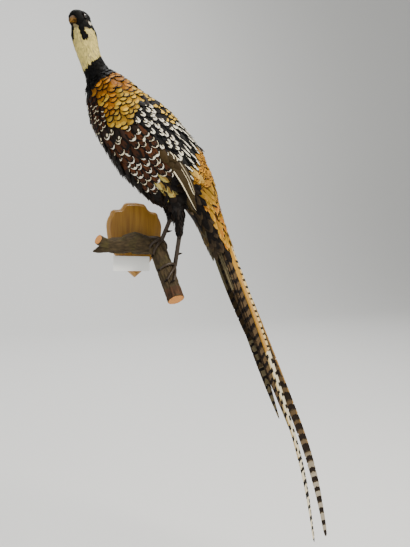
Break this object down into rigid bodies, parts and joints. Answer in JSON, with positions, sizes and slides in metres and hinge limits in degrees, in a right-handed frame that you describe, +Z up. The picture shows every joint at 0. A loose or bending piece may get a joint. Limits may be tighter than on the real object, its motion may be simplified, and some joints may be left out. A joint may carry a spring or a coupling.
{
  "type": "taxidermy Reeves's pheasant on a wall mount",
  "caption": "Life-size mounted Reeves's pheasant cock with gold scaled plumage and a very long barred tail, on a branch fixed to a wooden wall shield.",
  "frame": {"origin": "centre of the wooden shield's flat back, on the wall", "axes": "+Y into the wall, +Z up, +X towards the bird's tail; the room is towards -Y"},
  "size_m": [0.7483, 0.1712, 1.3528],
  "materials": {
    "body_plumage": "satin",
    "head_plumage": "matte",
    "tail_plumage": "satin",
    "horn": "semi-gloss",
    "glass_eye": "gloss",
    "scaled_leg": "satin",
    "bark": "rough",
    "varnished_shield": "gloss",
    "card": "matte"
  },
  "bodies": {
    "root": {"wall_shield": "varnished_shield", "branch": "bark", "label_card": "card", "trunk": "body_plumage", "tail_coverts": "body_plumage", "neck": "head_plumage", "head": "head_plumage", "bill_upper": "horn", "bill_lower": "horn", "eye_left": "glass_eye", "wing_left": "body_plumage", "flight_feathers_left": "body_plumage", "leg_left": "body_plumage", "foot_left": "scaled_leg", "eye_right": "glass_eye", "wing_right": "body_plumage", "flight_feathers_right": "body_plumage", "leg_right": "body_plumage", "foot_right": "scaled_leg", "tail_feather_1_left": "tail_plumage", "tail_feather_1_right": "tail_plumage", "tail_feather_2_left": "tail_plumage", "tail_feather_2_right": "tail_plumage", "tail_feather_3_left": "tail_plumage", "tail_feather_3_right": "tail_plumage", "tail_feather_4_left": "tail_plumage", "tail_feather_4_right": "tail_plumage", "tail_feather_5_left": "tail_plumage", "tail_feather_5_right": "tail_plumage"}
  },
  "joints": []
}
